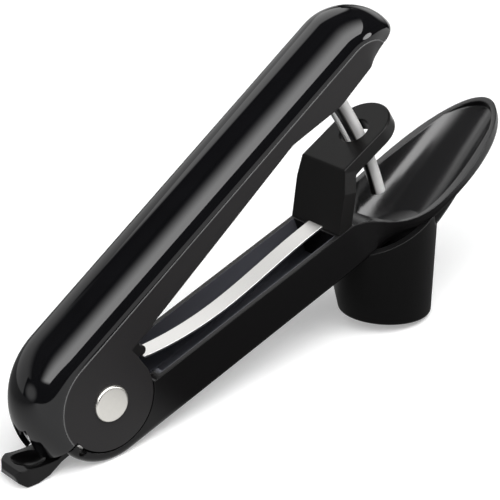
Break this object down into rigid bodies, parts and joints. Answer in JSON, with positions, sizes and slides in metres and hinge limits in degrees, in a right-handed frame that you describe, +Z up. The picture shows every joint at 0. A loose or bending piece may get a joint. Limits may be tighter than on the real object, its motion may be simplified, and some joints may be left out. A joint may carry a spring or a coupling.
{
  "type": "cherry pitter",
  "caption": "Hand cherry pitter: a domed handle hinged over a channel arm drives a curved steel punch through a cherry held in a spoon above a stone chute.",
  "frame": {"origin": "middle of the bounding box in X and Y, on the surface the tool stands on", "axes": "+X from the pivot to the spoon, +Y to the far side, +Z up; the tool stands on its hub and on the toe of the chute's foot ring"},
  "size_m": [0.2067, 0.0406, 0.1143],
  "materials": {
    "gloss_black": "gloss",
    "satin_black": "satin",
    "soft_black": "matte",
    "white_plastic": "matte",
    "brushed_steel": "brushed",
    "polished_steel": "polished",
    "screw_steel": "satin"
  },
  "bodies": {
    "base": {"lower_arm": "satin_black", "pit_chute": "satin_black", "stone_seat": "soft_black", "stripper_bracket": "satin_black", "bracket_screw_near": "screw_steel", "bracket_screw_far": "screw_steel", "leaf_spring": "brushed_steel", "spring_rivet": "brushed_steel", "lock_pin": "brushed_steel"},
    "lever": {"handle_frame": "satin_black", "handle_cover": "gloss_black", "cover_screw_front": "screw_steel", "cover_screw_rear": "screw_steel", "punch_rod": "polished_steel", "punch_pin": "polished_steel", "pivot_pin": "brushed_steel", "pivot_cap": "brushed_steel", "pivot_spacer_near": "white_plastic", "pivot_spacer_far": "white_plastic", "pivot_washer_near": "brushed_steel", "pivot_washer_far": "brushed_steel"},
    "lock": {"lock_lever": "satin_black"}
  },
  "joints": [
    {"name": "handle_hinge", "type": "hinge", "parent": "base", "child": "lever", "pos_m": [-0.07162, 0, 0.0201], "axis": [0, 1, 0], "range_deg": [0, 13], "stiffness_Nm_per_rad": 0.15, "springref_deg": -17.02, "deforming": ["leaf_spring"]},
    {"name": "lock_hinge", "type": "hinge", "parent": "base", "child": "lock", "pos_m": [-0.08348, 0, 0.00764], "axis": [0, 1, 0], "range_deg": [0, 5]}
  ]
}
